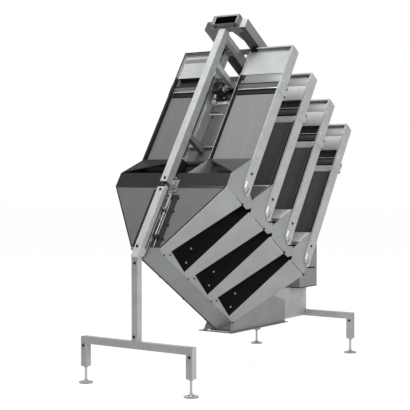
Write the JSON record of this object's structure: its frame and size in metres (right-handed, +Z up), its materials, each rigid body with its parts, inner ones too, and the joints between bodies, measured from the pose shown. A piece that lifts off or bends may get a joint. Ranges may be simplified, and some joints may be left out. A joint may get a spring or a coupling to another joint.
{
  "type": "inclined belt grain sorter",
  "caption": "Sloping stack of belt decks with two lanes each, hoppers that meet in a trough, a floor-level outlet boot, and a frame on two stands with levelling feet.",
  "frame": {"origin": "on the floor, in the middle of the four levelling feet", "axes": "+Z up; -Y towards the front leg and the low end of the decks; +X to the right as seen from the front"},
  "size_m": [1.224, 2.85, 3.2347],
  "materials": {
    "beam_zinc": "satin",
    "frame_steel": "satin",
    "web_sheet": "satin",
    "cabinet_sheet": "satin",
    "foot_zinc": "satin",
    "tray_sheet": "brushed",
    "rail_zinc": "satin",
    "belt_rubber": "matt",
    "roller_steel": "turned",
    "motor_paint": "matt",
    "hopper_sheet": "brushed",
    "head_sheet": "satin",
    "panel_plastic": "matt",
    "cylinder_alloy": "satin",
    "gate_dark": "satin"
  },
  "bodies": {
    "frame": {"upper_beam": "beam_zinc", "lower_beam": "beam_zinc", "front_leg": "beam_zinc", "front_stand": "beam_zinc", "rear_stand": "beam_zinc", "rear_column": "beam_zinc", "rear_spine": "beam_zinc", "splice_plate": "frame_steel", "low_arm": "frame_steel", "middle_arm": "frame_steel", "top_arm": "frame_steel", "rear_web": "web_sheet", "rear_cabinet": "cabinet_sheet", "tray_1": "tray_sheet", "side_rails_1": "rail_zinc", "belts_1": "belt_rubber", "gearmotor_1": "motor_paint", "hopper_1": "hopper_sheet", "hopper_cone_1": "hopper_sheet", "tray_2": "tray_sheet", "side_rails_2": "rail_zinc", "belts_2": "belt_rubber", "gearmotor_2": "motor_paint", "hopper_2": "hopper_sheet", "hopper_cone_2": "hopper_sheet", "tray_3": "tray_sheet", "side_rails_3": "rail_zinc", "belts_3": "belt_rubber", "gearmotor_3": "motor_paint", "hopper_3": "hopper_sheet", "hopper_cone_3": "hopper_sheet", "tray_4": "tray_sheet", "side_rails_4": "rail_zinc", "belts_4": "belt_rubber", "gearmotor_4": "motor_paint", "hopper_4": "hopper_sheet", "hopper_cone_4": "hopper_sheet", "collector": "hopper_sheet", "outlet_boot": "hopper_sheet", "feed_head": "head_sheet", "control_panel": "panel_plastic", "gate_cylinder": "cylinder_alloy"},
    "head_roller_1": {"head_roller_1": "roller_steel"},
    "head_roller_2": {"head_roller_2": "roller_steel"},
    "head_roller_3": {"head_roller_3": "roller_steel"},
    "head_roller_4": {"head_roller_4": "roller_steel"},
    "tail_roller_1": {"tail_roller_1": "roller_steel"},
    "tail_roller_2": {"tail_roller_2": "roller_steel"},
    "tail_roller_3": {"tail_roller_3": "roller_steel"},
    "tail_roller_4": {"tail_roller_4": "roller_steel"},
    "feed_roller_1": {"feed_roller_1": "roller_steel"},
    "feed_roller_2": {"feed_roller_2": "roller_steel"},
    "feed_roller_3": {"feed_roller_3": "roller_steel"},
    "feed_roller_4": {"feed_roller_4": "roller_steel"},
    "foot_front_left": {"foot_front_left": "foot_zinc"},
    "foot_front_right": {"foot_front_right": "foot_zinc"},
    "foot_rear_left": {"foot_rear_left": "foot_zinc"},
    "foot_rear_right": {"foot_rear_right": "foot_zinc"},
    "gate": {"gate_rod": "cylinder_alloy", "gate_shutter": "gate_dark"}
  },
  "joints": [
    {"name": "head_roller_1_spin", "type": "hinge", "parent": "frame", "child": "head_roller_1", "pos_m": [0, -0.08543, 2.47389], "axis": [1, 0, 0], "continuous": true},
    {"name": "tail_roller_1_spin", "type": "hinge", "parent": "frame", "child": "tail_roller_1", "pos_m": [0, -0.45143, 1.91031], "axis": [1, 0, 0], "continuous": true},
    {"name": "feed_roller_1_spin", "type": "hinge", "parent": "frame", "child": "feed_roller_1", "pos_m": [0, -0.03382, 2.56677], "axis": [1, 0, 0], "continuous": true},
    {"name": "head_roller_2_spin", "type": "hinge", "parent": "frame", "child": "head_roller_2", "pos_m": [0, 0.25843, 2.25059], "axis": [1, 0, 0], "continuous": true},
    {"name": "tail_roller_2_spin", "type": "hinge", "parent": "frame", "child": "tail_roller_2", "pos_m": [0, -0.10757, 1.68701], "axis": [1, 0, 0], "continuous": true},
    {"name": "feed_roller_2_spin", "type": "hinge", "parent": "frame", "child": "feed_roller_2", "pos_m": [0, 0.31004, 2.34347], "axis": [1, 0, 0], "continuous": true},
    {"name": "head_roller_3_spin", "type": "hinge", "parent": "frame", "child": "head_roller_3", "pos_m": [0, 0.60228, 2.02729], "axis": [1, 0, 0], "continuous": true},
    {"name": "tail_roller_3_spin", "type": "hinge", "parent": "frame", "child": "tail_roller_3", "pos_m": [0, 0.23628, 1.4637], "axis": [1, 0, 0], "continuous": true},
    {"name": "feed_roller_3_spin", "type": "hinge", "parent": "frame", "child": "feed_roller_3", "pos_m": [0, 0.65389, 2.12017], "axis": [1, 0, 0], "continuous": true},
    {"name": "head_roller_4_spin", "type": "hinge", "parent": "frame", "child": "head_roller_4", "pos_m": [0, 0.94614, 1.80399], "axis": [1, 0, 0], "continuous": true},
    {"name": "tail_roller_4_spin", "type": "hinge", "parent": "frame", "child": "tail_roller_4", "pos_m": [0, 0.58014, 1.2404], "axis": [1, 0, 0], "continuous": true},
    {"name": "feed_roller_4_spin", "type": "hinge", "parent": "frame", "child": "feed_roller_4", "pos_m": [0, 0.99774, 1.89686], "axis": [1, 0, 0], "continuous": true},
    {"name": "foot_front_left_height", "type": "slide", "parent": "frame", "child": "foot_front_left", "axis": [0, 0, -1], "range_m": [-0.08, 0.03]},
    {"name": "foot_front_right_height", "type": "slide", "parent": "frame", "child": "foot_front_right", "axis": [0, 0, -1], "range_m": [-0.08, 0.03]},
    {"name": "foot_rear_left_height", "type": "slide", "parent": "frame", "child": "foot_rear_left", "axis": [0, 0, -1], "range_m": [-0.08, 0.03]},
    {"name": "foot_rear_right_height", "type": "slide", "parent": "frame", "child": "foot_rear_right", "axis": [0, 0, -1], "range_m": [-0.08, 0.03]},
    {"name": "gate_slide", "type": "slide", "parent": "frame", "child": "gate", "axis": [0, -0.5446, -0.8387], "range_m": [-0.05, 0.05]}
  ],
  "couplings": [
    {"joint": "tail_roller_1_spin", "follows": "head_roller_1_spin", "ratio": 1},
    {"joint": "feed_roller_1_spin", "follows": "head_roller_1_spin", "ratio": -0.53333},
    {"joint": "tail_roller_2_spin", "follows": "head_roller_2_spin", "ratio": 1},
    {"joint": "feed_roller_2_spin", "follows": "head_roller_2_spin", "ratio": -0.53333},
    {"joint": "tail_roller_3_spin", "follows": "head_roller_3_spin", "ratio": 1},
    {"joint": "feed_roller_3_spin", "follows": "head_roller_3_spin", "ratio": -0.53333},
    {"joint": "tail_roller_4_spin", "follows": "head_roller_4_spin", "ratio": 1},
    {"joint": "feed_roller_4_spin", "follows": "head_roller_4_spin", "ratio": -0.53333}
  ]
}
